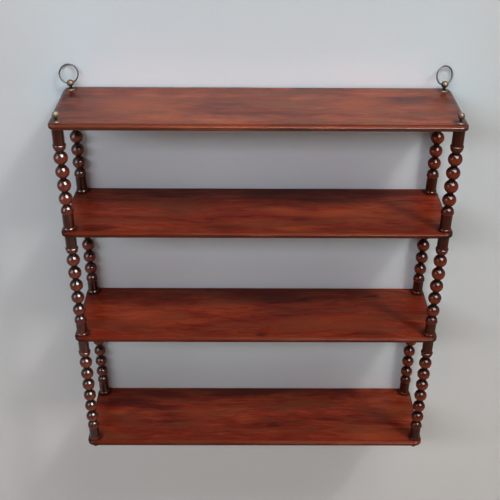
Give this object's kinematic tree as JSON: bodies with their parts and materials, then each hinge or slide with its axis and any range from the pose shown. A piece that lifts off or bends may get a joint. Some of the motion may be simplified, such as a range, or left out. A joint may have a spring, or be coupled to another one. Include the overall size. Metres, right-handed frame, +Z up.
{
  "type": "wall shelf",
  "caption": "Hanging wall shelf of stacked rounded mahogany boards joined by bobbin-turned posts, with brass corner finials and swinging hanging rings.",
  "frame": {"origin": "on the wall's plane, at the middle of the top shelf's back edge, where that edge rests on the wall", "axes": "+Z up, +Y back into the wall, +X to the right as seen from the front"},
  "size_m": [0.6314, 0.1525, 0.701],
  "materials": {
    "mahogany_shelves": "french-polished figured mahogany, satin to gloss",
    "mahogany_turnings": "french-polished turned mahogany, glossy, dark in the hollows",
    "aged_brass": "aged, rubbed bright on the crowns"
  },
  "bodies": {
    "shelf": {"top_shelf": "mahogany_shelves", "upper_shelf": "mahogany_shelves", "lower_shelf": "mahogany_shelves", "bottom_shelf": "mahogany_shelves", "post_top_front_left": "mahogany_turnings", "post_top_front_right": "mahogany_turnings", "post_top_back_left": "mahogany_turnings", "post_top_back_right": "mahogany_turnings", "post_middle_front_left": "mahogany_turnings", "post_middle_front_right": "mahogany_turnings", "post_middle_back_left": "mahogany_turnings", "post_middle_back_right": "mahogany_turnings", "post_bottom_front_left": "mahogany_turnings", "post_bottom_front_right": "mahogany_turnings", "post_bottom_back_left": "mahogany_turnings", "post_bottom_back_right": "mahogany_turnings", "foot_front_left": "mahogany_turnings", "foot_front_right": "mahogany_turnings", "foot_back_left": "mahogany_turnings", "foot_back_right": "mahogany_turnings", "finial_front_left": "aged_brass", "finial_front_right": "aged_brass", "ring_eye_left": "aged_brass", "ring_eye_right": "aged_brass"},
    "left_ring": {"hanging_ring_left": "aged_brass"},
    "right_ring": {"hanging_ring_right": "aged_brass"}
  },
  "joints": [
    {"name": "left_ring_swing", "type": "hinge", "parent": "shelf", "child": "left_ring", "pos_m": [-0.3, -0.0115, 0.015], "axis": [1, 0, 0], "range_deg": [0, 125]},
    {"name": "right_ring_swing", "type": "hinge", "parent": "shelf", "child": "right_ring", "pos_m": [0.3, -0.0115, 0.015], "axis": [0.9063, 0.4226, 0], "range_deg": [0, 119]}
  ]
}
